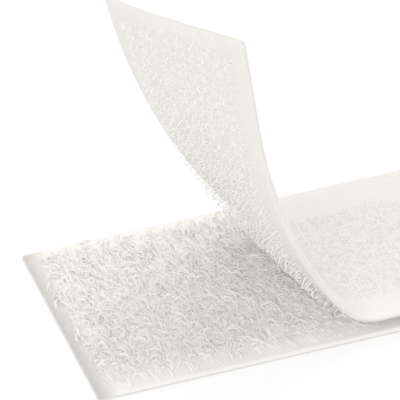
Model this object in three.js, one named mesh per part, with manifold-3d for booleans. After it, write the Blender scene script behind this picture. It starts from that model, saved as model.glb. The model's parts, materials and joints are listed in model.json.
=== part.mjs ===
// A pair of sew-on hook and loop strips. The loop strip lies flat with its pile up. The hook strip is
// pressed on it, hooks down, and its left end is peeled up into a free flap.
// Millimetres, +Z up. The origin is under the middle of the loop strip, with X along the strips.
import * as THREE from 'three';
import { mergeVertices } from 'three/addons/utils/BufferGeometryUtils.js';
import Module from 'manifold-3d';

const wasm = await Module();
wasm.setup();

const { degToRad } = THREE.MathUtils;

// Cut sizes of the two strips, whose front edges are flush
const LOOP_LENGTH = 100;
const LOOP_WIDTH = 25;
const HOOK_WIDTH = 21.7;
const END_SETBACK = 9; // the hook strip's right end stops this short of the loop strip's

// Layers of each tape: resin back coat, woven ground, and the ground's face that carries the strands
const COAT = 0.12;
const GROUND = 0.35;
const FACE = 0.15;
const PARTING = 0.05; // between layers

// The peel. Its creases are straight lines across the strip that fan out from one point in front of it
const PEEL_START = 32; // first crease, from the loop strip's left end, along the front edge
const FLAP_LENGTH = 41; // from the first crease to the cut end, along the front edge
const PEEL_SLANT = degToRad(11); // first crease, from square across the strip
const FAN_REACH = 44; // from the front edge to the point where the creases meet
const PEEL_ARC = 5; // the tight bend at the peel line
const PEEL_TURN = degToRad(56);
const RISE_ARC = 26; // the easier bend above it, past which the flap is straight
const RISE_TURN = degToRad(39);
const CURL_LINE = 16; // the flap's second hinge line, in the easier bend
const HINGE_GAP = 0.6; // between the flap's segments, along the front edge

// Strands
const STRAND_WIDTH = 0.3;
const HOOK_HEIGHT = 1.1;
const HOOK_STEM = 0.62;
const CROOK_REACH = 0.62;
const LOOP_HEIGHT = 1.5; // where nothing presses on the loop
const LOOP_SPAN = 1.4;
const TIP_CLEARANCE = 0.3; // between a strand and whatever faces it
const ROW_PITCH = 2.1; // hook rows and loop rows take turns, half a pitch apart
const HOOK_STEP = 5.4; // along a row
const LOOP_STEP = 6.3;
const HOOK_MARGIN = 2; // bare selvedges
const LOOP_MARGIN = 2.5;
const END_MARGIN = 1; // between a strand's foot and a cut end
const HINGE_MARGIN = 1.7; // between a hook's foot and a hinge line

// Facets of the bends and sides of a strand
const PEEL_FACETS = 6;
const RISE_FACETS = 4;
const TIP_FACETS = 5;
const CORNER_FACETS = 8;
const STRAND_SIDES = 3;
const LOOP_FACETS = 3;
const TURN_STEP = 0.1; // step along the front edge in which the bend is added up

// Places that follow from the sizes above
const loopLeft = -LOOP_LENGTH / 2;
const loopRight = LOOP_LENGTH / 2;
const yFront = -LOOP_WIDTH / 2;
const yBack = yFront + HOOK_WIDTH;
const yHookMiddle = (yFront + yBack) / 2;
const hookRight = loopRight - END_SETBACK;
const peelX = loopLeft + PEEL_START;
const flapEnd = peelX - FLAP_LENGTH;
const peelHinge = PEEL_ARC;
const curlHinge = CURL_LINE;

const loopGroundLow = COAT + PARTING;
const loopFaceLow = loopGroundLow + GROUND + PARTING;
const loopFaceTop = loopFaceLow + FACE;
const hookFaceLow = loopFaceTop + HOOK_HEIGHT + TIP_CLEARANCE;
const hookGroundLow = hookFaceLow + FACE + PARTING;
const hookCoatLow = hookGroundLow + GROUND + PARTING;
const hookTop = hookCoatLow + COAT;
const hookMiddle = (hookFaceLow + hookTop) / 2;

const fanPoint = new THREE.Vector3(peelX + FAN_REACH * Math.tan(PEEL_SLANT), yFront - FAN_REACH, hookMiddle);

// Materials: bleached woven nylon, its clear resin coat, multifilament loops and clear monofilament hooks
const wovenNylon = new THREE.MeshStandardMaterial({ color: 0xebe9e5, roughness: 0.8, metalness: 0 });
const resinCoat = new THREE.MeshStandardMaterial({ color: 0xefeeea, roughness: 0.55, metalness: 0 });
const loopNylon = new THREE.MeshStandardMaterial({ color: 0xe2deda, roughness: 0.75, metalness: 0 });
const hookNylon = new THREE.MeshStandardMaterial({ color: 0xf0f0ec, roughness: 0.35, metalness: 0 });

// A crease is named by the distance s from the first crease to it along the front edge.

// Tangent of a crease's slant from square across the strip
function creaseSlope(s) {
  return Math.tan(PEEL_SLANT) + s / FAN_REACH;
}

// How far the strip has turned up at a crease
function turnAt(s) {
  const peelShare = THREE.MathUtils.clamp(s / PEEL_ARC, 0, 1);
  const riseShare = THREE.MathUtils.clamp((s - PEEL_ARC) / RISE_ARC, 0, 1);
  return peelShare * PEEL_TURN + riseShare * RISE_TURN;
}

// The turn that carries the flat strip to its bent place at a crease. Every crease runs through the fan
// point, so the turns about the creases up to this one add up to a single turn about that point.
function creasePose(s) {
  const pose = new THREE.Quaternion();
  const steps = Math.ceil(Math.max(s, 0) / TURN_STEP);
  for (let i = 0; i < steps; i += 1) {
    const near = (s * i) / steps;
    const far = (s * (i + 1)) / steps;
    const slope = creaseSlope((near + far) / 2);
    const axis = new THREE.Vector3(-slope, 1, 0).normalize();
    pose.multiply(new THREE.Quaternion().setFromAxisAngle(axis, turnAt(far) - turnAt(near)));
  }
  return pose;
}

// The crease through a point of the flat strip; below 0 the strip is still flat
function creaseThrough(x, y) {
  const slope = (fanPoint.x - x) / (y - fanPoint.y);
  return (slope - Math.tan(PEEL_SLANT)) * FAN_REACH;
}

function bent(point, pose) {
  return point.clone().sub(fanPoint).applyQuaternion(pose).add(fanPoint);
}

// A line across the hook strip at a crease, from the front edge to the back edge or to the cut end
function creaseLine(s) {
  const across = Math.min(HOOK_WIDTH, (FLAP_LENGTH - s) / creaseSlope(s));
  const x = peelX - s;
  return { pose: creasePose(s), ends: [[x, yFront], [x - across * creaseSlope(s), yFront + across]] };
}

function creaseLines(from, to, facets) {
  return Array.from({ length: facets + 1 }, (_, i) => creaseLine(from + ((to - from) * i) / facets));
}

// A line square across a flat strip
function squareLine(x, front, back) {
  return { pose: new THREE.Quaternion(), ends: [[x, front], [x, back]] };
}

// An indexed geometry of a closed body, with equal points merged and empty triangles left out
function closedGeometry(points, triangles) {
  const geometry = new THREE.BufferGeometry().setFromPoints(points);
  geometry.setIndex(triangles.flat());
  const merged = mergeVertices(geometry);
  const corners = Array.from(merged.index.array);
  const kept = [];
  for (let i = 0; i < corners.length; i += 3) {
    const [a, b, c] = corners.slice(i, i + 3);
    if (a !== b && b !== c && c !== a) {
      kept.push(a, b, c);
    }
  }
  merged.setIndex(kept);
  return merged;
}

// One layer of tape between two heights of the flat strip, lofted through lines from right to left
function layer(lines, low, high) {
  const points = lines.flatMap(({ pose, ends }) =>
    ends.flatMap(([x, y]) => [low, high].map((z) => bent(new THREE.Vector3(x, y, z), pose))),
  );
  const perLine = 4; // front low, front high, back low, back high
  const triangles = [];
  const quad = (a, b, c, d) => triangles.push([a, b, c], [a, c, d]);
  for (let i = 0; i + 1 < lines.length; i += 1) {
    const [fl, fh, bl, bh] = [0, 1, 2, 3].map((k) => i * perLine + k);
    const [nextFl, nextFh, nextBl, nextBh] = [0, 1, 2, 3].map((k) => (i + 1) * perLine + k);
    quad(fh, bh, nextBh, nextFh);
    quad(fl, nextFl, nextBl, bl);
    quad(fl, fh, nextFh, nextFl);
    quad(bl, nextBl, nextBh, bh);
  }
  const last = (lines.length - 1) * perLine;
  quad(0, 2, 3, 1);
  quad(last, last + 1, last + 3, last + 2);
  return closedGeometry(points, triangles);
}

// A strand through stations in a plane square to Y, closed at both ends and carried by a pose. Each station
// has a point and the direction of the strand there
function strand(stations, pose) {
  const points = stations.flatMap(({ point, along }) => {
    const out = new THREE.Vector3(along.z, 0, -along.x).normalize();
    return Array.from({ length: STRAND_SIDES }, (_, k) => {
      const angle = (2 * Math.PI * k) / STRAND_SIDES;
      const corner = point.clone().addScaledVector(out, (Math.cos(angle) * STRAND_WIDTH) / 2);
      corner.y += (Math.sin(angle) * STRAND_WIDTH) / 2;
      return bent(corner, pose);
    });
  });
  const triangles = [];
  for (let i = 0; i + 1 < stations.length; i += 1) {
    for (let k = 0; k < STRAND_SIDES; k += 1) {
      const a = i * STRAND_SIDES + k;
      const b = i * STRAND_SIDES + ((k + 1) % STRAND_SIDES);
      triangles.push([a, b, b + STRAND_SIDES], [a, b + STRAND_SIDES, a + STRAND_SIDES]);
    }
  }
  const last = (stations.length - 1) * STRAND_SIDES;
  for (let k = 1; k + 1 < STRAND_SIDES; k += 1) {
    triangles.push([0, k + 1, k], [last, last + k, last + k + 1]);
  }
  return closedGeometry(points, triangles);
}

// A stem from inside the hook strip's face, then a crook to one side. The flat strip's hooks point down
function hookStations(x, y, side) {
  const place = (reach, height) => new THREE.Vector3(x + side * reach, y, hookFaceLow - height);
  const foot = -FACE / 2;
  const crown = HOOK_HEIGHT - STRAND_WIDTH / 2;
  const path = [place(0, foot), place(0, HOOK_STEM), place(CROOK_REACH / 2, crown), place(CROOK_REACH, HOOK_STEM)];
  return path.map((point, i) => {
    const before = path[Math.max(i - 1, 0)];
    const after = path[Math.min(i + 1, path.length - 1)];
    return { point, along: after.clone().sub(before) };
  });
}

// An arch that stands upright with both feet on the loop strip's face
function loopStations(x, y, height) {
  const rise = height - STRAND_WIDTH / 2;
  const halfSpan = LOOP_SPAN / 2;
  return Array.from({ length: LOOP_FACETS + 1 }, (_, i) => {
    const angle = (Math.PI * i) / LOOP_FACETS;
    const point = new THREE.Vector3(x + Math.cos(angle) * halfSpan, y, loopFaceTop + Math.sin(angle) * rise);
    return { point, along: new THREE.Vector3(-Math.sin(angle) * halfSpan, 0, Math.cos(angle) * rise) };
  });
}

// How tall a loop stands: full height in the open, and under the hook strip as far as that leaves room
function loopHeight(x, y) {
  const nearSide = x + LOOP_SPAN / 2;
  const pastEnd = x - LOOP_SPAN / 2 > hookRight + TIP_CLEARANCE;
  const pastBack = y - STRAND_WIDTH / 2 > yBack + TIP_CLEARANCE;
  if (pastEnd || pastBack) {
    return LOOP_HEIGHT;
  }
  const s = Math.max(creaseThrough(nearSide, y), 0);
  const onStrip = new THREE.Vector3(peelX - s, yFront, hookMiddle);
  const lift = bent(onStrip, creasePose(s)).z - hookMiddle;
  return Math.min(LOOP_HEIGHT, HOOK_HEIGHT + lift);
}

// Feet of strands in staggered rows: every row's y, and steps along X between two ends
function rowFeet(rows, from, to, step) {
  return rows.flatMap((y, row) => {
    const start = from + (row % 2 === 0 ? 0 : step / 2);
    const count = Math.floor((to - start) / step) + 1;
    return Array.from({ length: count }, (_, i) => ({ x: start + i * step, y, row }));
  });
}

// Rows a pitch apart from a first one, as far as they stay between two limits
function rowsBetween(through, low, high) {
  const first = through - Math.floor((through - low) / ROW_PITCH) * ROW_PITCH;
  const count = Math.floor((high - first) / ROW_PITCH) + 1;
  return Array.from({ length: count }, (_, i) => first + i * ROW_PITCH);
}

function toSolid(geometry) {
  const vertProperties = new Float32Array(geometry.attributes.position.array);
  const triVerts = new Uint32Array(geometry.index.array);
  return new wasm.Manifold(new wasm.Mesh({ numProp: 3, vertProperties, triVerts }));
}

function fromSolid(solid) {
  const { vertProperties, triVerts } = solid.getMesh();
  const geometry = new THREE.BufferGeometry();
  geometry.setAttribute('position', new THREE.BufferAttribute(vertProperties, 3));
  geometry.setIndex(new THREE.BufferAttribute(triVerts, 1));
  return geometry;
}

// A tape's face with its strands fused to it
function pile(face, strands) {
  return fromSolid(strands.reduce((solid, one) => solid.add(toSolid(one)), toSolid(face)));
}

function piece(name, geometry, material) {
  geometry.computeVertexNormals();
  const mesh = new THREE.Mesh(geometry, material);
  mesh.name = name;
  return mesh;
}

function loopStrip() {
  const ends = [squareLine(loopRight, yFront, -yFront), squareLine(loopLeft, yFront, -yFront)];
  const reach = LOOP_WIDTH / 2 - LOOP_MARGIN;
  const rows = rowsBetween(yHookMiddle + ROW_PITCH / 2, -reach, reach);
  const margin = END_MARGIN + LOOP_SPAN / 2;
  const feet = rowFeet(rows, loopLeft + margin, loopRight - margin, LOOP_STEP);
  const still = new THREE.Quaternion();
  const loops = feet.map(({ x, y }) => strand(loopStations(x, y, loopHeight(x, y)), still));
  const strip = new THREE.Group();
  strip.add(
    piece('loop_back_coat', layer(ends, 0, COAT), resinCoat),
    piece('loop_ground_tape', layer(ends, loopGroundLow, loopGroundLow + GROUND), wovenNylon),
    piece('loop_pile', pile(layer(ends, loopFaceLow, loopFaceTop), loops), loopNylon),
  );
  return strip;
}

// One rigid length of the hook strip, between two creases or from its square end
function hookSegment(suffix, lines, hooks) {
  const segment = new THREE.Group();
  const face = layer(lines, hookFaceLow, hookFaceLow + FACE);
  segment.add(
    piece(`hook_back_coat_${suffix}`, layer(lines, hookCoatLow, hookTop), resinCoat),
    piece(`hook_ground_tape_${suffix}`, layer(lines, hookGroundLow, hookGroundLow + GROUND), wovenNylon),
    piece(`hooks_${suffix}`, pile(face, hooks), hookNylon),
  );
  return segment;
}

function hookStrip() {
  const halfGap = HINGE_GAP / 2;
  // The crease through the flap's back corner, where the lines start to end on the cut end
  const corner = (FLAP_LENGTH - HOOK_WIDTH * Math.tan(PEEL_SLANT)) / (1 + HOOK_WIDTH / FAN_REACH);
  const bonded = [squareLine(hookRight, yFront, yBack), ...creaseLines(0, peelHinge - halfGap, PEEL_FACETS)];
  const flap = creaseLines(peelHinge + halfGap, curlHinge - halfGap, RISE_FACETS);
  const tip = creaseLines(curlHinge + halfGap, corner, TIP_FACETS);
  const tipCorner = creaseLines(corner, FLAP_LENGTH, CORNER_FACETS).slice(1);

  const reach = HOOK_WIDTH / 2 - HOOK_MARGIN;
  const rows = rowsBetween(yHookMiddle, yHookMiddle - reach, yHookMiddle + reach);
  const margin = END_MARGIN + CROOK_REACH;
  const feet = rowFeet(rows, flapEnd + margin, hookRight - margin, HOOK_STEP);
  const hooksBetween = (from, to) =>
    feet
      .map((foot) => ({ ...foot, s: creaseThrough(foot.x, foot.y) }))
      .filter(({ s }) => s > from && s < to)
      .map(({ x, y, row, s }) => strand(hookStations(x, y, row % 2 === 0 ? 1 : -1), creasePose(s)));

  const strip = new THREE.Group();
  strip.add(
    hookSegment('bonded', bonded, hooksBetween(-Infinity, peelHinge - HINGE_MARGIN)),
    hookSegment('flap', flap, hooksBetween(peelHinge + HINGE_MARGIN, curlHinge - HINGE_MARGIN)),
    hookSegment('tip', [...tip, ...tipCorner], hooksBetween(curlHinge + HINGE_MARGIN, Infinity)),
  );
  return strip;
}

const part = new THREE.Group();
part.add(loopStrip(), hookStrip());

export default part;
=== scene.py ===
"""White sew-on hook and loop strips, with the end of the hook strip peeled up.

The tapes are woven slabs with relief, the pile is a tangle of fine filament loops, and the hooks
are white monofilament. Metres, +Z up, in the frame of the solids.
"""

import json
import math

import bpy
import numpy as np
from mathutils import Matrix, Vector

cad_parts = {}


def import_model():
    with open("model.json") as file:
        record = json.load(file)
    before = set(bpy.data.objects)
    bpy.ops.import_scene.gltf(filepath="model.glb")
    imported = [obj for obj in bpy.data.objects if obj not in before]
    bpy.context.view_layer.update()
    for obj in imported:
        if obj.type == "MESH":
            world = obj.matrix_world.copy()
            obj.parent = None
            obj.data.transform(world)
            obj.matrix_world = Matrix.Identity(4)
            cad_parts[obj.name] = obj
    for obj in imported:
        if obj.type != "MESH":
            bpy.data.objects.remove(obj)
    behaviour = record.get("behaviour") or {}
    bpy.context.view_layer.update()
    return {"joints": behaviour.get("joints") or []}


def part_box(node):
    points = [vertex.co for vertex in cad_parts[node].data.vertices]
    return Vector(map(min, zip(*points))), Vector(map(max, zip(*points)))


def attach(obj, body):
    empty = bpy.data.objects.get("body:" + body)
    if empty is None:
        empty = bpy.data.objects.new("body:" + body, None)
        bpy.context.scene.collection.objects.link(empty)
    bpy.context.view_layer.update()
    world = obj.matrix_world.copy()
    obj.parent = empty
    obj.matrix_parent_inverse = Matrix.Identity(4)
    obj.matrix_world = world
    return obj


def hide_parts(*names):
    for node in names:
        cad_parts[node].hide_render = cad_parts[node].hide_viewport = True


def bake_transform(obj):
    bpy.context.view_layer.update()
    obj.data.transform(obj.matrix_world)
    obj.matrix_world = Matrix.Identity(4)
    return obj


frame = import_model()

MM = 0.001

# The peel, as on the solids: creases that fan out from one point in front of the strip
PEEL_START = 32 * MM  # first crease, from the loop strip's left end, along the front edge
FLAP_LENGTH = 41 * MM  # from the first crease to the cut end
PEEL_SLANT = math.radians(11)
FAN_REACH = 44 * MM  # from the front edge to the fan point
PEEL_ARC = 5 * MM  # the tight bend at the peel line
PEEL_TURN = math.radians(56)
RISE_ARC = 26 * MM  # the easier bend above it
RISE_TURN = math.radians(39)
CURL_LINE = 16 * MM  # the flap's second hinge line
POSE_STEP = 0.02 * MM  # along the front edge, between two stored turns

# Tapes
HOOK_WIDTH = 21.7 * MM
HOOK_TAPE = 0.72 * MM  # thickness, coat and face included
HOOK_HEIGHT = 1.1 * MM
FACE = 0.2 * MM  # the pile's own ground above the loop strip's woven solid
SELVEDGE_ROUND = 0.3 * MM  # radius of a woven edge
SELVEDGE_THIN = 0.15  # share of the thickness that is left at the very edge
ROUND_STEPS = 5
SHARP_ANGLE = math.radians(50)  # edges that turn more than this are shaded sharp
HOOK_CELL = 0.13 * MM  # of the grids that the tapes are made of
LOOP_CELL = 0.2 * MM
HOOK_MARGIN = 1.8 * MM  # bare selvedges
HOOK_BACK_BARE = 3.7 * MM  # between the back edge and the first hooks
LOOP_FRONT_MARGIN = 1.9 * MM
LOOP_BACK_MARGIN = 0.4 * MM
BEHIND_MARGIN = 1.2 * MM  # more of the loop strip's back edge is bare behind the hook strip
END_MARGIN = 1.1 * MM
MARGIN_FADE = 2.6 * MM  # over which the weave's relief dies out
HOOK_SEALED = (0.8 * MM, 0.6)  # length of a hot-cut end, and share of the thickness at the cut
LOOP_SEALED = (2.4 * MM, 0.8)

# Weave
THREAD_PITCH = 0.43 * MM
THREAD_WANDER = 0.5 * MM
WANDER_SIZES = (1.3 * MM, 1.1 * MM)  # over which the threads of each direction wander
LUMP_HEIGHTS = (0.3, 1)
FUZZ_SHARE = 0.3  # of the relief, beside the lumps of the threads
FUZZ_SIZE = 0.3 * MM
RIB_SHARE = 0.3  # of a selvedge's relief
BACK_RELIEF = 0.085 * MM
FACE_RELIEF = 0.03 * MM
SELVEDGE_RELIEF = 0.015 * MM
TABLE = 512  # random values each way, before a pattern repeats
TABLE_SHIFT = 100  # of the frame's origin on the table, in values

# Where the hook strip's pieces part: flat, across the peel hinge, and across the curl hinge
FLAT_PART = -4 * MM  # from the first crease, along the front edge
FLAP_PART = 11 * MM
BLEND_REACH = 5 * MM  # to each side of a hinge
HINGE_AT = {"peel": PEEL_ARC, "curl": CURL_LINE}  # crease of each hinge

# Hooks
HOOK_PITCH = 1.15 * MM  # along a row
HOOK_ROW_PITCH = 1.3 * MM
HOOK_RADIUS = 0.042 * MM
CROOK_RADIUS = 0.37 * MM
CROOK_SWEEP = math.radians(215)
CROOK_POINTS = 9
STUB_HEIGHT = 0.34 * MM  # the cut leg that faces each crook
ROOT = 0.12 * MM  # buried in the tape
HOOK_SIDES = 8
HOOK_SCATTER = 0.1 * MM
HOOK_LEAN = 0.15  # sideways, for each unit of height
HOOK_STRETCH = (0.85, 1.0)  # shares of the full height
HOOK_TWIST = math.radians(22)

# Loops
LOOPS_PER_MM2 = 1.9
LOOP_SCATTER = 1.2  # in steps of the grid that the loops start from
LOOP_SPAN = (0.8 * MM, 1.9 * MM)
LOOP_HEIGHT = (0.2 * MM, 0.75 * MM)
LOOP_ROOT = 0.1 * MM  # buried in the ground
LOOP_LEAN_IN = 0.18  # of the legs, which makes a loop more pointed than a half circle
LOOP_CROWN = 0.8  # power of the arch; under 1 is fuller than a sine
LOOP_SWAY = 0.16 * MM
PRESSED = 0.42  # share of its height that a loop keeps where the hook strip is or was on it
PRESSED_FROM = -14 * MM  # from the first crease
PRESSED_OVER = 9 * MM
NAP = math.radians(-68)  # the way that most loops lie, from +X
NAP_SPREAD = math.radians(32)
PILE_PARTS = 4
PILE_END_CLEAR = 0.1 * MM  # loops stay this far inside the tape's ends, and its edges
PILE_EDGE_CLEAR = 0.3 * MM

# Filaments of one loop, and how far they differ from each other
FILAMENTS = 3
FILAMENT_RADIUS = 0.045 * MM
FILAMENT_POINTS = 9
FILAMENT_SIDES = 4
FOOT_SPREAD = 0.05 * MM
HEADING_SPREAD = 0.13  # radians
SPAN_SPREAD = 0.18  # shares of the loop's span and height
HEIGHT_SPREAD = 0.14
HEIGHT_LIMITS = (-0.3, 0.12)
SWAY_SPREAD = 0.12 * MM
TWIST_SPREAD = 0.1 * MM
TONE_SPREAD = 0.3  # share of a filament's tone that is its own

# Maps for baking: bands of a slab's faces and walls, and the border of a tube's cell
UPPER_BAND = (0.52, 1)
LOWER_BAND = (0, 0.48)
WALL_BAND = (0.49, 0.51)
CELL_BORDER = 0.05

# Woven nylon, its patterns scaled to millimetres of the flat tape
# The hollows' colour is painted: darker for painted shade on the pile's ground and the coated back,
# lighter for painted light on the hook side's field
HOLLOW_AND_LUMP = (0.12, 0.5)  # heights of the relief at which each has its full colour
# The pits are painted shade: a darker colour where the threads cross, deeper in some patches than
# in others
PIT_SCALE = 2.6
PIT_INNER_AND_OUTER = (0.12, 0.26)
PIT_SHADE_COLOUR = (0.56, 0.54, 0.52)
SHALLOW_PIT_SHADE = 0.15
PIT_PATCH_SCALE = 0.9
PIT_PATCH_DETAIL = 2
SHALLOW_AND_DEEP = (0.4, 0.62)  # values of the patches at which pits are shallow and deep
ROUGH_PATCH_SCALE = 1.7
ROUGH_PATCH_DETAIL = 3
YARN_SCALE = 3.4
YARN_DISTORTION = 2.5
YARN_DETAIL_SCALE = 2
YARN_STRENGTH = 0.25
YARN_DEPTH = 0.03 * MM
CLOTH_SHEEN = 0.15
CLOTH_SHEEN_ROUGHNESS = 0.5
COAT_ROUGHNESS = 0.35
LOOP_CUT = (0.58, 0.56, 0.55)  # colours of the hot-cut ends
HOOK_CUT = (0.93, 0.92, 0.9)

# Filament tones, and roughness from the start of a strand to its end; the brightest of the hooks'
# tones is a painted highlight
LOOP_TONES = ((0, (0.93, 0.91, 0.89)), (1, (1, 0.99, 0.97)))
LOOP_ROUGHNESS = (0.5, 0.38)
LOOP_SHEEN = 0.2
# Hooks get a random grey tone, and the tenth with the highest tones are painted near white as
# glints on their crowns
HOOK_TONES_AND_GLINTS = ((0, (0.91, 0.9, 0.88)), (0.9, (0.94, 0.93, 0.91)), (1, (0.99, 0.98, 0.96)))
HOOK_ROUGHNESS = (0.7, 0.55)
HOOK_IOR = 1.53

# Camera, fitted to the photo's edges; the photo is 42.9 mm across
VIEW_AZIMUTH = math.radians(-19.62)
VIEW_ELEVATION = math.radians(39.5)
VIEW_WIDTH = 42.87 * MM
VIEW_TARGET = Vector((-29.85, 12.41, 2.73)) * MM
VIEW_DISTANCE = 1.2

# Stage
FLOOR_SIZE = 6
FLOOR_COLOUR = (0.85, 0.85, 0.85)
FLOOR_ROUGHNESS = 0.9
SEEN_GLOW = 0.62  # what the camera sees of the floor: a glow, and a shade that keeps the shadow
SEEN_SHADE = (0.4, 0.4, 0.4)
WORLD_COLOUR = (1, 0.99, 0.98)
WORLD_STRENGTH = 0.73
SOFTBOXES = {  # place, width and power
    "front": ((-0.3, -0.5, 0.36), 0.6, 1.4),
    "top": ((0.2, 0.44, 0.6), 0.5, 1.8),
    "left": ((-0.6, -0.16, 0.2), 0.4, 0.45),
}

# Seeds of the random patterns
SEED = 11
HOOK_TAPE_SEED = SEED + 10
HOOK_FIELD_SEED = SEED + 20
LOWER_FACE_SEED = 5  # past the seed of the upper face

# Places taken from the frame
loop_low, loop_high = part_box("loop_ground_tape")
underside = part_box("loop_back_coat")[0].z
loop_face = loop_high.z + FACE
hook_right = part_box("hook_ground_tape_bonded")[1].x
y_front = loop_low.y
y_back = y_front + HOOK_WIDTH
hook_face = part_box("hooks_bonded")[0].z + HOOK_HEIGHT
hook_top = hook_face + HOOK_TAPE
peel_x = loop_low.x + PEEL_START
flap_end = peel_x - FLAP_LENGTH
fan_point = np.array(
    [peel_x + FAN_REACH * math.tan(PEEL_SLANT), y_front - FAN_REACH, (hook_face + hook_top) / 2]
)


# The bend of the hook strip. A crease is named by its distance s from the first one, along the
# front edge


def crease_slope(s):
    return math.tan(PEEL_SLANT) + s / FAN_REACH


def crease_x(s, y):
    """x of the flat strip's crease s at y."""
    return peel_x - s - (y - y_front) * crease_slope(s)


def crease_through(x, y):
    slope = (fan_point[0] - x) / (y - fan_point[1])
    return (slope - math.tan(PEEL_SLANT)) * FAN_REACH


def turn_at(s):
    """How far the strip has turned up at a crease."""
    peel_share = min(max(s / PEEL_ARC, 0), 1)
    rise_share = min(max((s - PEEL_ARC) / RISE_ARC, 0), 1)
    return peel_share * PEEL_TURN + rise_share * RISE_TURN


def crease_poses():
    """The turns that carry the flat strip to its place at each crease, all about the fan point."""
    pose = Matrix.Identity(3)
    made = [np.array(pose)]
    for i in range(math.ceil(FLAP_LENGTH / POSE_STEP)):
        near, far = i * POSE_STEP, (i + 1) * POSE_STEP
        axis = Vector((-crease_slope((near + far) / 2), 1, 0))
        pose = pose @ Matrix.Rotation(turn_at(far) - turn_at(near), 3, axis)
        made.append(np.array(pose))
    return np.array(made)


poses = crease_poses()


def bent(flat, s=None):
    """Flat points of the hook strip at their places on the peeled strip.

    They are turned as at their own crease, or at s.
    """
    if s is None:
        s = crease_through(flat[:, 0], flat[:, 1])
    nearest = np.rint(np.clip(s / POSE_STEP, 0, len(poses) - 1)).astype(int)
    return fan_point + np.einsum("nij,nj->ni", poses[nearest], flat - fan_point)


def unbent(flat):
    """The loop strip's points, which stay flat."""
    return flat


# Meshes


def new_piece(name, vertices, faces, materials, smooth=True):
    """A mesh object with its materials. Faces is a list of index arrays, each with equal counts."""
    mesh = bpy.data.meshes.new(name)
    mesh.from_pydata(vertices.tolist(), [], [face for group in faces for face in group.tolist()])
    mesh.polygons.foreach_set("use_smooth", np.full(len(mesh.polygons), smooth))
    for material in materials:
        mesh.materials.append(material)
    piece = bpy.data.objects.new(name, mesh)
    bpy.context.scene.collection.objects.link(piece)
    return piece


def joined(parts, name):
    """Several mesh pieces as one."""
    with bpy.context.temp_override(active_object=parts[0], selected_editable_objects=parts):
        bpy.ops.object.join()
    parts[0].name = name
    parts[0].data.name = name
    return parts[0]


def lay_out(piece, places):
    """Gives a piece its map for baking, one place per face corner."""
    layer = piece.data.uv_layers.new(name="OFBake")
    layer.data.foreach_set("uv", places.astype(np.float32).ravel())


def note(piece, name, values):
    """Stores one number, or one vector, per vertex for the materials to read."""
    kind, key = ("FLOAT", "value") if values.ndim == 1 else ("FLOAT_VECTOR", "vector")
    attribute = piece.data.attributes.new(name, kind, "POINT")
    attribute.data.foreach_set(key, values.astype(np.float32).ravel())


def grid_faces(rows, columns):
    """The faces of a grid, seen from above, and the vertices round its edge in order."""
    index = np.arange(rows * columns).reshape(rows, columns)
    corners = [index[:-1, :-1], index[1:, :-1], index[1:, 1:], index[:-1, 1:]]
    rim = [index[:-1, 0], index[-1, :-1], index[:0:-1, -1], index[0, :0:-1]]
    return np.stack(corners, axis=-1).reshape(-1, 4), np.concatenate(rim)


def grid_places(rows, columns, low, high):
    """Places of a grid's vertices on a band of the map."""
    u, v = np.meshgrid(np.linspace(0, 1, rows), np.linspace(low, high, columns), indexing="ij")
    return np.stack([u, v], axis=-1).reshape(-1, 2)


def slab(name, x, y, top, bottom, place, materials):
    """A closed slab between two grids of heights over flat x and y.

    The lower grid is at half the fineness. Rows run along +X and columns along +Y, and both counts
    are odd.
    """
    coarse = (slice(None, None, 2), slice(None, None, 2))
    upper_flat = np.stack([x, y, top], axis=-1).reshape(-1, 3)
    lower_flat = np.stack([x[coarse], y[coarse], bottom[coarse]], axis=-1).reshape(-1, 3)
    upper, rim = grid_faces(*x.shape)
    lower, low_rim = grid_faces(*x[coarse].shape)
    count = len(upper_flat)
    low_rim = low_rim + count
    walls = np.stack(
        [low_rim, np.roll(low_rim, -1), np.roll(rim[::2], -1), rim[1::2], rim[::2]], axis=-1
    )
    flat = np.concatenate([upper_flat, lower_flat])
    piece = new_piece(name, place(flat), [upper, lower[:, ::-1] + count, walls], materials)
    piece.data.set_sharp_from_angle(angle=SHARP_ANGLE)
    slots = np.repeat([0, 1], [len(upper), len(lower) + len(walls)])
    piece.data.polygons.foreach_set("material_index", slots)
    note(piece, "flat", flat / MM)

    # The upper face takes the top of the map, the lower one the bottom, the walls a band between
    over = grid_places(*x.shape, *UPPER_BAND)[upper]
    under = grid_places(*x[coarse].shape, *LOWER_BAND)[lower[:, ::-1]]
    run = np.linspace(0, 1, len(low_rim) + 1)
    u = np.stack([run[:-1], run[1:], run[1:], (run[:-1] + run[1:]) / 2, run[:-1]], axis=-1)
    v = np.tile(np.repeat(WALL_BAND, [2, 3]), (len(walls), 1))
    band = np.stack([u, v], axis=-1)
    lay_out(piece, np.concatenate([part.reshape(-1, 2) for part in (over, under, band)]))
    return piece


def on_both(upper, lower):
    """One number per vertex of a slab, from a grid for each face."""
    return np.concatenate([upper.ravel(), lower[::2, ::2].ravel()])


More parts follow.
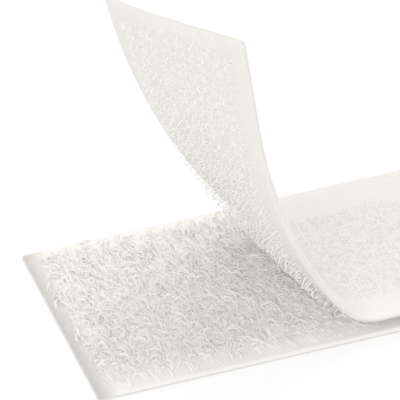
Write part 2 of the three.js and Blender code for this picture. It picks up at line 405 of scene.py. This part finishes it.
def tubes(name, paths, across, radius, sides, tone, material, smooth=True):
    """Closed tubes along paths of equal counts.

    Across is square to the plane of each path, and tone is one number for each tube.
    """
    strands, points = paths.shape[:2]
    along = np.gradient(paths, axis=1)
    along /= np.linalg.norm(along, axis=2, keepdims=True)
    out = np.cross(across[:, None], along)
    out /= np.linalg.norm(out, axis=2, keepdims=True)
    side = np.cross(along, out)
    angle = 2 * math.pi * np.arange(sides)[:, None] / sides
    ring = np.cos(angle) * out[:, :, None] + np.sin(angle) * side[:, :, None]
    vertices = (paths[:, :, None] + radius * ring).reshape(-1, 3)

    index = np.arange(strands * points * sides).reshape(strands, points, sides)
    following = np.roll(index, -1, axis=2)
    quads = np.stack(
        [index[:, :-1], following[:, :-1], following[:, 1:], index[:, 1:]], axis=-1
    ).reshape(-1, 4)
    caps = np.concatenate([index[:, 0, ::-1], index[:, -1]])
    piece = new_piece(name, vertices, [quads, caps], [material], smooth)
    note(piece, "tone", np.repeat(tone, points * sides))
    note(piece, "along", np.tile(np.repeat(np.linspace(0, 1, points), sides), strands))

    # Each tube has a cell of its own on the map, unrolled
    cells = math.ceil(math.sqrt(strands))
    cell = np.stack([np.arange(strands) % cells, np.arange(strands) // cells], axis=-1)
    u, v = np.meshgrid(np.arange(sides) / sides, np.arange(points - 1) / (points - 1))
    corners = np.array([[0, 0], [1, 0], [1, 1], [0, 1]]) / (sides, points - 1)
    unrolled = (np.stack([u, v], axis=-1)[:, :, None] + corners).reshape(-1, 2)
    walls = (cell[:, None] + CELL_BORDER + (1 - 2 * CELL_BORDER) * unrolled) / cells
    ends = np.repeat(np.tile((cell + 0.5) / cells, (2, 1)), sides, axis=0)
    lay_out(piece, np.concatenate([walls.reshape(-1, 2), ends]))
    return piece


# Weave


def eased(share):
    """A share from 0 to 1 that starts and stops gently."""
    return share * share * (3 - 2 * share)


def patches(x, y, size, seed):
    """Smooth random values from 0 to 1 that change over about one size."""
    table = np.random.default_rng(seed).random((TABLE, TABLE))
    a, b = x / size + TABLE_SHIFT, y / size + TABLE_SHIFT
    i, j = np.floor(a).astype(int), np.floor(b).astype(int)
    to_right, to_back = eased(a - i), eased(b - j)
    left, right = i % TABLE, (i + 1) % TABLE
    front, back = j % TABLE, (j + 1) % TABLE
    near = table[left, front] * (1 - to_right) + table[right, front] * to_right
    far = table[left, back] * (1 - to_right) + table[right, back] * to_right
    return near * (1 - to_back) + far * to_back


def weave(x, y, seed):
    """Height of a close plain weave, from 0 to 1.

    There is a lump at each crossing, long the way of the thread on top.
    """
    a = (x + THREAD_WANDER * (patches(x, y, WANDER_SIZES[0], seed) - 0.5)) / THREAD_PITCH
    b = (y + THREAD_WANDER * (patches(x, y, WANDER_SIZES[1], seed + 1) - 0.5)) / THREAD_PITCH
    column, row = np.rint(a).astype(int), np.rint(b).astype(int)
    warp_on_top = (column + row) % 2 == 0
    along = np.where(warp_on_top, a - column, b - row)
    across = np.where(warp_on_top, b - row, a - column)
    lump = np.cos(0.5 * math.pi * along) * np.cos(math.pi * across)
    size = np.random.default_rng(seed + 2).uniform(*LUMP_HEIGHTS, (TABLE, TABLE))
    return lump * size[column % TABLE, row % TABLE]


def fade(distance, start):
    """0 before start and 1 past it, smoothly over the margin's fade."""
    return eased(np.clip((distance - start) / MARGIN_FADE, 0, 1))


def odd(count):
    return 2 * round(count / 2) + 1


def columns_between(low, high, step):
    """Places across a tape, closer together round its two edges."""
    bow = SELVEDGE_ROUND * (1 - np.cos(np.linspace(0, math.pi / 2, ROUND_STEPS + 1)))[:-1]
    inner = np.linspace(low + SELVEDGE_ROUND, high - SELVEDGE_ROUND, odd((high - low) / step))
    return np.concatenate([low + bow, inner, (high - bow)[::-1]])


def roundness(y):
    """Share of a tape's thickness that its woven edges have, over a grid that runs across it."""
    depth = np.clip(np.minimum(y - y.min(), y.max() - y) / SELVEDGE_ROUND, 0, 1)
    return np.maximum(np.sqrt(1 - (1 - depth) ** 2), SELVEDGE_THIN)


def woven_face(x, y, margins, depth, seed):
    """A woven face, with lumps in the field and ribs by the edges.

    Gives its height from 0 to 1, how far it lies in, and the share of the field.
    """
    field = fade(y - y.min(), margins[0]) * fade(y.max() - y, margins[1])
    ribs = 0.5 + 0.5 * np.cos(math.pi * x / THREAD_PITCH)
    fuzz = patches(x, y, FUZZ_SIZE, seed + 3)
    lumps = (1 - FUZZ_SHARE) * weave(x, y, seed) + FUZZ_SHARE * fuzz
    height = field * lumps + (1 - field) * (1 - RIB_SHARE + RIB_SHARE * ribs)
    return height, (1 - height) * (field * depth + (1 - field) * SELVEDGE_RELIEF), field


def tape(name, x, y, heights, cuts, sealed, margins, reliefs, place, materials, seed):
    """A woven tape over a flat grid.

    It has relief on both faces, rounded edges, and hot-cut ends pressed thin from above.
    """
    low, high = heights
    length, thin = sealed
    full = roundness(y)
    upper, upper_in, field = woven_face(x, y, margins, reliefs[0], seed)
    lower, lower_in, _ = woven_face(x, y, margins, reliefs[1], seed + LOWER_FACE_SEED)
    pressed = np.ones_like(x)
    for cut_x in cuts:
        share = np.clip(np.abs(x - cut_x) / length, 0, 1)
        pressed *= thin + (1 - thin) * share * (2 - share)
    middle = (low + high) / 2
    half = middle - low
    top = low + (middle + (high - middle) * full - low) * pressed - upper_in * full * pressed
    bottom = middle - half * full * pressed - (1 - pressed) * half + lower_in * full * pressed
    piece = slab(name, x, y, top, bottom, place, materials)
    note(piece, "relief", on_both(upper, lower))
    note(piece, "field", on_both(field, field))
    note(piece, "sealed", np.sqrt(on_both(1 - pressed, 1 - pressed) / (1 - thin)))
    return piece


# Materials


def node(tree, kind, **settings):
    made = tree.nodes.new(kind)
    for key, value in settings.items():
        setattr(made, key, value)
    return made


def read_note(tree, name):
    return node(tree, "ShaderNodeAttribute", attribute_name=name)


def grey(value):
    return (value, value, value)


def ramp(tree, source, *stops):
    """A colour ramp over a value, from (place, colour) stops."""
    made = node(tree, "ShaderNodeValToRGB")
    elements = made.color_ramp.elements
    while len(elements) < len(stops):
        elements.new(1)
    for element, (place, colour) in zip(elements, stops):
        element.position = place
        element.color = (*colour, 1)
    tree.links.new(source, made.inputs["Fac"])
    return made.outputs["Color"]


def span(tree, source, low, high):
    """A value from 0 to 1 carried to low and high."""
    made = node(tree, "ShaderNodeMapRange")
    made.inputs["To Min"].default_value = low
    made.inputs["To Max"].default_value = high
    tree.links.new(source, made.inputs["Value"])
    return made.outputs["Result"]


def combined(tree, operation, first, second):
    """Two values taken together by a math operation."""
    made = node(tree, "ShaderNodeMath", operation=operation)
    tree.links.new(first, made.inputs[0])
    tree.links.new(second, made.inputs[1])
    return made.outputs["Value"]


def toned(tree, share, first, colour):
    """A colour that turns into a plain one by a share."""
    made = node(tree, "ShaderNodeMix", data_type="RGBA")
    tree.links.new(share, made.inputs["Factor"])
    tree.links.new(first, made.inputs["A"])
    made.inputs["B"].default_value = (*colour, 1)
    return made.outputs["Result"]


def noise(tree, place, scale, detail):
    made = node(tree, "ShaderNodeTexNoise")
    made.inputs["Scale"].default_value = scale
    made.inputs["Detail"].default_value = detail
    tree.links.new(place, made.inputs["Vector"])
    return made.outputs["Fac"]


def principled(name):
    material = bpy.data.materials.new(name)
    material.use_nodes = True
    return material, material.node_tree, material.node_tree.nodes["Principled BSDF"]


def let_through(tree, shader, colour, share):
    """Lets a share of the light through a thin white surface."""
    through = node(tree, "ShaderNodeBsdfTranslucent")
    tree.links.new(colour, through.inputs["Color"])
    both = node(tree, "ShaderNodeMixShader")
    both.inputs["Fac"].default_value = share
    tree.links.new(shader.outputs["BSDF"], both.inputs[1])
    tree.links.new(through.outputs["BSDF"], both.inputs[2])
    tree.links.new(both.outputs["Shader"], tree.nodes["Material Output"].inputs["Surface"])


def pit_shade_share(tree, place, deepest):
    """How dark the painted shade in the pits between threads is, some deeper than others, all over
    the tape.
    """
    crossings = node(tree, "ShaderNodeTexVoronoi")
    crossings.inputs["Scale"].default_value = PIT_SCALE
    tree.links.new(place, crossings.inputs["Vector"])
    inner, outer = PIT_INNER_AND_OUTER
    near = ramp(tree, crossings.outputs["Distance"], (inner, grey(1)), (outer, grey(0)))
    patch = noise(tree, place, PIT_PATCH_SCALE, PIT_PATCH_DETAIL)
    shallow, deep = SHALLOW_AND_DEEP
    depth = ramp(tree, patch, (shallow, grey(SHALLOW_PIT_SHADE)), (deep, grey(deepest)))
    return combined(tree, "MULTIPLY", near, depth)


def yarn_bump(tree, place):
    """Fine ribs of the yarn, as a normal."""
    yarn = node(tree, "ShaderNodeTexWave", bands_direction="Y")
    yarn.inputs["Scale"].default_value = YARN_SCALE
    yarn.inputs["Distortion"].default_value = YARN_DISTORTION
    yarn.inputs["Detail Scale"].default_value = YARN_DETAIL_SCALE
    tree.links.new(place, yarn.inputs["Vector"])
    bump = node(tree, "ShaderNodeBump")
    bump.inputs["Strength"].default_value = YARN_STRENGTH
    bump.inputs["Distance"].default_value = YARN_DEPTH
    tree.links.new(yarn.outputs["Fac"], bump.inputs["Height"])
    return bump.outputs["Normal"]


def woven_nylon(name, hollows, lumps, cut, rough, coat, pits, passed):
    """Woven nylon with painted shade in the pits between its threads, yarn ribs in the bump and
    uneven roughness.

    Hollows, lumps and cut are colours, and the hollows' colour is painted shade or painted light as
    each tape sets it. Rough is a range, pits says how dark the painted shade in the deepest pits
    is, and passed is the share of light that goes through.
    """
    material, tree, shader = principled(name)
    place = read_note(tree, "flat").outputs["Vector"]
    height = read_note(tree, "relief").outputs["Fac"]
    field = read_note(tree, "field").outputs["Fac"]
    sealed = read_note(tree, "sealed").outputs["Fac"]
    low, high = HOLLOW_AND_LUMP
    # The relief's hollows get painted shade or painted light, as each tape sets them, and the pits
    # get painted shade
    cloth_with_painted_hollows = ramp(tree, height, (low, hollows), (high, lumps))
    dark = combined(tree, "MULTIPLY", pit_shade_share(tree, place, pits), field)
    pit_shaded = toned(tree, dark, cloth_with_painted_hollows, PIT_SHADE_COLOUR)
    colour = toned(tree, sealed, pit_shaded, cut)
    tree.links.new(colour, shader.inputs["Base Color"])

    uneven = noise(tree, place, ROUGH_PATCH_SCALE, ROUGH_PATCH_DETAIL)
    tree.links.new(span(tree, uneven, *rough), shader.inputs["Roughness"])
    tree.links.new(yarn_bump(tree, place), shader.inputs["Normal"])
    shader.inputs["Sheen Weight"].default_value = CLOTH_SHEEN
    shader.inputs["Sheen Roughness"].default_value = CLOTH_SHEEN_ROUGHNESS
    shader.inputs["Coat Weight"].default_value = coat
    shader.inputs["Coat Roughness"].default_value = COAT_ROUGHNESS
    let_through(tree, shader, colour, passed)
    return material


def filament(name, tones, rough):
    """White nylon filament: each strand has a tone, and its roughness changes along it."""
    material, tree, shader = principled(name)
    tone = read_note(tree, "tone").outputs["Fac"]
    tree.links.new(ramp(tree, tone, *tones), shader.inputs["Base Color"])
    along = read_note(tree, "along").outputs["Fac"]
    tree.links.new(span(tree, along, *rough), shader.inputs["Roughness"])
    return material, shader


def loop_filament():
    material, shader = filament("loop_filament", LOOP_TONES, LOOP_ROUGHNESS)
    shader.inputs["Sheen Weight"].default_value = LOOP_SHEEN
    return material


def hook_monofilament():
    material, shader = filament("hook_monofilament", HOOK_TONES_AND_GLINTS, HOOK_ROUGHNESS)
    shader.inputs["IOR"].default_value = HOOK_IOR
    return material


# Pieces


def loop_tape(materials):
    across = columns_between(loop_low.y, loop_high.y, LOOP_CELL)
    along = np.linspace(loop_low.x, loop_high.x, odd((loop_high.x - loop_low.x) / LOOP_CELL))
    x, y = np.meshgrid(along, across, indexing="ij")
    return tape(
        "loop_tape",
        x,
        y,
        heights=(underside, loop_face),
        cuts=(loop_low.x, loop_high.x),
        sealed=LOOP_SEALED,
        margins=(LOOP_FRONT_MARGIN, LOOP_BACK_MARGIN),
        reliefs=(FACE_RELIEF, FACE_RELIEF),
        place=unbent,
        materials=materials,
        seed=SEED,
    )


def strip_ends(right_s, left_s, y):
    """x of both ends of a length of the hook strip at y; None is the strip's cut end."""
    right = np.full(len(y), hook_right) if right_s is None else crease_x(right_s, y)
    left = np.full(len(y), flap_end) if left_s is None else crease_x(left_s, y)
    return right, left


def hook_tape(name, right_s, left_s, materials):
    """A length of the hook strip's tape between two creases or cut ends."""
    across = columns_between(y_front, y_back, HOOK_CELL)
    right, left = strip_ends(right_s, left_s, across)
    share = np.linspace(0, 1, odd(np.max(right - left) / HOOK_CELL))[:, None]
    x = left + share * (right - left)
    return tape(
        name,
        x,
        np.broadcast_to(across, x.shape),
        heights=(hook_face, hook_top),
        cuts=(flap_end, hook_right),
        sealed=HOOK_SEALED,
        margins=(HOOK_MARGIN, HOOK_MARGIN),
        reliefs=(BACK_RELIEF, FACE_RELIEF),
        place=bent,
        materials=materials,
        seed=HOOK_TAPE_SEED,
    )


def hook_outline():
    """Reach and height along one hook: a straight stem and a crook that turns back down."""
    spring = HOOK_HEIGHT - HOOK_RADIUS - CROOK_RADIUS
    angle = math.pi - np.linspace(0, CROOK_SWEEP, CROOK_POINTS)
    reach = CROOK_RADIUS * (1 + np.cos(angle))
    crook = np.stack([reach, spring + CROOK_RADIUS * np.sin(angle)], axis=-1)
    stem = np.array([[0, -ROOT], [0, spring / 2]])
    return np.concatenate([stem, crook])


def hook_feet():
    """Flat x, y and side of every hook: staggered rows that face opposite ways."""
    low, high = y_front + HOOK_MARGIN, y_back - HOOK_BACK_BARE
    row_count = math.floor((high - low) / HOOK_ROW_PITCH) + 1
    first = (low + high - (row_count - 1) * HOOK_ROW_PITCH) / 2
    feet = []
    for row in range(row_count):
        start = flap_end + END_MARGIN + 2 * CROOK_RADIUS + (row % 2) * HOOK_PITCH / 2
        for x in np.arange(start, hook_right - END_MARGIN - 2 * CROOK_RADIUS, HOOK_PITCH):
            feet.append((x, first + row * HOOK_ROW_PITCH, 1 if row % 2 == 0 else -1))
    return np.array(feet)


def hook_field(name, feet, material, rng):
    """Hooks with the stub of the cut leg that faces each of them, on the bent strip."""
    count = len(feet)
    x = feet[:, 0] + rng.normal(0, HOOK_SCATTER, count)
    y = feet[:, 1] + rng.normal(0, HOOK_SCATTER, count)
    lean = rng.normal(0, HOOK_LEAN, count)
    stretch = rng.uniform(*HOOK_STRETCH, count)
    twist = rng.normal(0, HOOK_TWIST, count)
    ahead = np.stack([np.cos(twist), np.sin(twist)], axis=-1) * feet[:, 2:]
    sideways = np.stack([-ahead[:, 1], ahead[:, 0], np.zeros(count)], axis=-1)
    s = crease_through(feet[:, 0], feet[:, 1])
    across = bent(sideways + fan_point, s) - fan_point
    stub_outline = np.array([[2 * CROOK_RADIUS, -ROOT], [2 * CROOK_RADIUS, STUB_HEIGHT]])
    made = []
    for part, outline in (("hooks", hook_outline()), ("stubs", stub_outline)):
        reach = outline[None, :, 0]
        height = outline[None, :, 1] * stretch[:, None]
        flat = np.stack(
            [
                x[:, None] + ahead[:, :1] * reach,
                y[:, None] + ahead[:, 1:] * reach + lean[:, None] * np.maximum(height, 0),
                hook_face - height,
            ],
            axis=-1,
        )
        paths = bent(flat.reshape(-1, 3), np.repeat(s, len(outline))).reshape(flat.shape)
        tone = rng.random(count)
        strands = f"{name}_{part}"
        made.append(tubes(strands, paths, across, HOOK_RADIUS, HOOK_SIDES, tone, material))
    return joined(made, name)


def loop_pile(name, low, high, material, rng):
    """A tangle of filament loops over one length of the loop strip, most laid along the nap."""
    front, back = loop_low.y + LOOP_FRONT_MARGIN, loop_high.y - LOOP_BACK_MARGIN
    step = MM / math.sqrt(LOOPS_PER_MM2)
    x, y = np.meshgrid(np.arange(low, high, step), np.arange(front, back, step))
    foot = np.stack([x.ravel(), y.ravel()], axis=-1)
    foot += rng.uniform(0, LOOP_SCATTER * step, foot.shape)
    foot = foot[foot[:, 1] < back - BEHIND_MARGIN * (foot[:, 0] > peel_x - PEEL_ARC)]
    count = len(foot)
    heading = NAP + rng.normal(0, NAP_SPREAD, count)
    reach = rng.uniform(*LOOP_SPAN, count)
    rise = rng.uniform(*LOOP_HEIGHT, count)

    # Each loop is a yarn of a few filaments that spread out on the way
    def spread(scale):
        return rng.normal(0, scale, (count, FILAMENTS)).ravel()

    foot = np.repeat(foot, FILAMENTS, axis=0)
    foot += np.stack([spread(FOOT_SPREAD), spread(FOOT_SPREAD)], axis=-1)
    heading = np.repeat(heading, FILAMENTS) + spread(HEADING_SPREAD)
    reach = np.repeat(reach, FILAMENTS) * (1 + spread(SPAN_SPREAD))
    rise = np.repeat(rise, FILAMENTS) * (1 + np.clip(spread(HEIGHT_SPREAD), *HEIGHT_LIMITS))
    covered = np.clip((foot[:, 0] - peel_x - PRESSED_FROM) / PRESSED_OVER, 0, 1)
    covered *= foot[:, 1] < y_back
    rise *= 1 - covered * (1 - PRESSED)
    sway = np.repeat(rng.normal(0, LOOP_SWAY, count), FILAMENTS) + spread(SWAY_SPREAD)
    twist = spread(TWIST_SPREAD)

    turn = np.linspace(0, math.pi, FILAMENT_POINTS)
    run = (1 - np.cos(turn)) / 2 + LOOP_LEAN_IN * np.sin(turn) * np.cos(turn)
    ahead = np.stack([np.cos(heading), np.sin(heading)], axis=-1)
    aside = np.stack([-np.sin(heading), np.cos(heading)], axis=-1)
    offset = sway[:, None] * np.sin(turn) + twist[:, None] * np.sin(2 * turn)
    plan = foot[:, None] + ahead[:, None] * (reach[:, None] * run)[..., None]
    plan += aside[:, None] * offset[..., None]
    for axis, clear in ((0, PILE_END_CLEAR), (1, PILE_EDGE_CLEAR)):
        inside = (loop_low[axis] + clear, loop_high[axis] - clear)
        plan[..., axis] = np.clip(plan[..., axis], *inside)
    height = loop_face - LOOP_ROOT + rise[:, None] * np.sin(turn) ** LOOP_CROWN
    paths = np.concatenate([plan, height[..., None]], axis=-1)
    across = np.concatenate([aside, np.zeros((len(aside), 1))], axis=-1)
    tone = np.repeat(rng.random(count), FILAMENTS) * (1 - TONE_SPREAD)
    tone += TONE_SPREAD * rng.random(count * FILAMENTS)
    return tubes(
        name, paths, across, FILAMENT_RADIUS, FILAMENT_SIDES, tone, material, smooth=False
    )


def bend_over(piece, joint_name):
    """Finds a hinge's axis and the way across it, square to the axis, and bakes the piece's
    transform into its mesh.
    """
    joint = next(joint for joint in frame["joints"] if joint["name"] == joint_name)
    axis = np.array(joint["axis"])
    s = HINGE_AT[joint_name]
    flat_way = np.array([[-1.0, -crease_slope(s), 0.0]])
    way = (bent(flat_way + fan_point, np.array([s])) - fan_point)[0]
    way -= axis * way.dot(axis) / axis.dot(axis)
    way *= BLEND_REACH / np.linalg.norm(way)
    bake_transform(piece)


def build_loop_strip(face, back, strands):
    ground = loop_tape([face, back])
    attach(ground, "loop_strip")
    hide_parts("loop_ground_tape", "loop_back_coat")
    edges = np.linspace(loop_low.x + END_MARGIN, loop_high.x - END_MARGIN, PILE_PARTS + 1)
    for part, (low, high) in enumerate(zip(edges, edges[1:])):
        rng = np.random.default_rng(SEED + part)
        pile = loop_pile(f"loop_pile_{part + 1}", low, high, strands, rng)
        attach(pile, "loop_strip")
        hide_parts("loop_pile")


def build_hook_strip(face, back, strands):
    feet = hook_feet()
    s = crease_through(feet[:, 0], feet[:, 1])
    lengths = {
        "bonded": (None, FLAT_PART),
        "flap": (FLAT_PART, FLAP_PART),
        "tip": (FLAP_PART, None),
    }
    for number, (name, (right_s, left_s)) in enumerate(lengths.items()):
        ground = hook_tape(f"hook_tape_{name}", right_s, left_s, [back, face])
        low = -math.inf if right_s is None else right_s
        high = math.inf if left_s is None else left_s
        rng = np.random.default_rng(HOOK_FIELD_SEED + number)
        hooks = hook_field(f"hook_field_{name}", feet[(s >= low) & (s < high)], strands, rng)
        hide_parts(f"hook_ground_tape_{name}", f"hook_back_coat_{name}")
        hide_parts(f"hooks_{name}")
        for piece in (ground, hooks):
            if name == "bonded":
                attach(piece, "hook_strip")
            elif name == "flap":
                bend_over(piece, "peel")
            else:
                bend_over(piece, "curl")


# Stage


def floor():
    """A wide pale floor that looks white where it is lit and keeps the shadow."""
    bpy.ops.mesh.primitive_plane_add(size=FLOOR_SIZE, location=(0, 0, 0))
    plane = bpy.context.object
    plane.name = "floor"
    material, tree, shader = principled("floor")
    shader.inputs["Base Color"].default_value = (*FLOOR_COLOUR, 1)
    shader.inputs["Roughness"].default_value = FLOOR_ROUGHNESS
    glow = node(tree, "ShaderNodeEmission")
    glow.inputs["Strength"].default_value = SEEN_GLOW
    shade = node(tree, "ShaderNodeBsdfDiffuse")
    shade.inputs["Color"].default_value = (*SEEN_SHADE, 1)
    both = node(tree, "ShaderNodeAddShader")
    tree.links.new(glow.outputs["Emission"], both.inputs[0])
    tree.links.new(shade.outputs["BSDF"], both.inputs[1])
    rays = node(tree, "ShaderNodeLightPath")
    glossy, clear = rays.outputs["Is Glossy Ray"], rays.outputs["Is Transmission Ray"]
    bounced = combined(tree, "MAXIMUM", glossy, clear)
    seen = combined(tree, "MAXIMUM", rays.outputs["Is Camera Ray"], bounced)
    pick = node(tree, "ShaderNodeMixShader")
    tree.links.new(seen, pick.inputs["Fac"])
    tree.links.new(shader.outputs["BSDF"], pick.inputs[1])
    tree.links.new(both.outputs["Shader"], pick.inputs[2])
    tree.links.new(pick.outputs["Shader"], tree.nodes["Material Output"].inputs["Surface"])
    plane.data.materials.append(material)


def world():
    made = bpy.data.worlds.new("studio")
    made.use_nodes = True
    background = made.node_tree.nodes["Background"]
    background.inputs["Color"].default_value = (*WORLD_COLOUR, 1)
    background.inputs["Strength"].default_value = WORLD_STRENGTH
    bpy.context.scene.world = made


def softbox(name, location, size, power):
    data = bpy.data.lights.new(name, "AREA")
    data.shape = "SQUARE"
    data.size = size
    data.energy = power
    lamp = bpy.data.objects.new(name, data)
    lamp.location = location
    lamp.rotation_euler = (VIEW_TARGET - Vector(location)).to_track_quat("-Z", "Y").to_euler()
    bpy.context.scene.collection.objects.link(lamp)


def camera():
    data = bpy.data.cameras.new("photo")
    data.lens = data.sensor_width * VIEW_DISTANCE / VIEW_WIDTH
    made = bpy.data.objects.new("photo", data)
    towards = Vector(
        (
            math.sin(VIEW_AZIMUTH) * math.cos(VIEW_ELEVATION),
            -math.cos(VIEW_AZIMUTH) * math.cos(VIEW_ELEVATION),
            math.sin(VIEW_ELEVATION),
        )
    )
    made.location = VIEW_TARGET + towards * VIEW_DISTANCE
    made.rotation_euler = (math.pi / 2 - VIEW_ELEVATION, 0, VIEW_AZIMUTH)
    bpy.context.scene.collection.objects.link(made)
    bpy.context.scene.camera = made


camera()
# The pile's ground: its darker hollows are painted shade from the loops over it, and its pits are
# painted shade
pile_ground = woven_nylon(
    "pile_ground",
    hollows=(0.73, 0.71, 0.69),
    lumps=(0.93, 0.91, 0.89),
    cut=LOOP_CUT,
    rough=(0.6, 0.85),
    coat=0,
    pits=0.3,
    passed=0.02,
)
# The hook side: its hollows, most of the field under the hooks, are lighter as painted light that
# offsets the hooks' shadows
hook_ground = woven_nylon(
    "woven_face",
    hollows=(0.99, 0.98, 0.96),
    lumps=(0.92, 0.91, 0.89),
    cut=HOOK_CUT,
    rough=(0.6, 0.85),
    coat=0,
    pits=0,
    passed=0.35,
)
# The coated back: its darker hollows and its pits are painted shade in the weave's cavities
coated_back = woven_nylon(
    "coated_back",
    hollows=(0.82, 0.81, 0.79),
    lumps=(0.97, 0.96, 0.94),
    cut=HOOK_CUT,
    rough=(0.45, 0.7),
    coat=0.15,
    pits=0.4,
    passed=0.2,
)
build_loop_strip(pile_ground, coated_back, loop_filament())
build_hook_strip(hook_ground, coated_back, hook_monofilament())
floor()
world()
for lamp_name, lamp in SOFTBOXES.items():
    softbox(lamp_name, *lamp)
bpy.context.scene.view_settings.view_transform = "Standard"
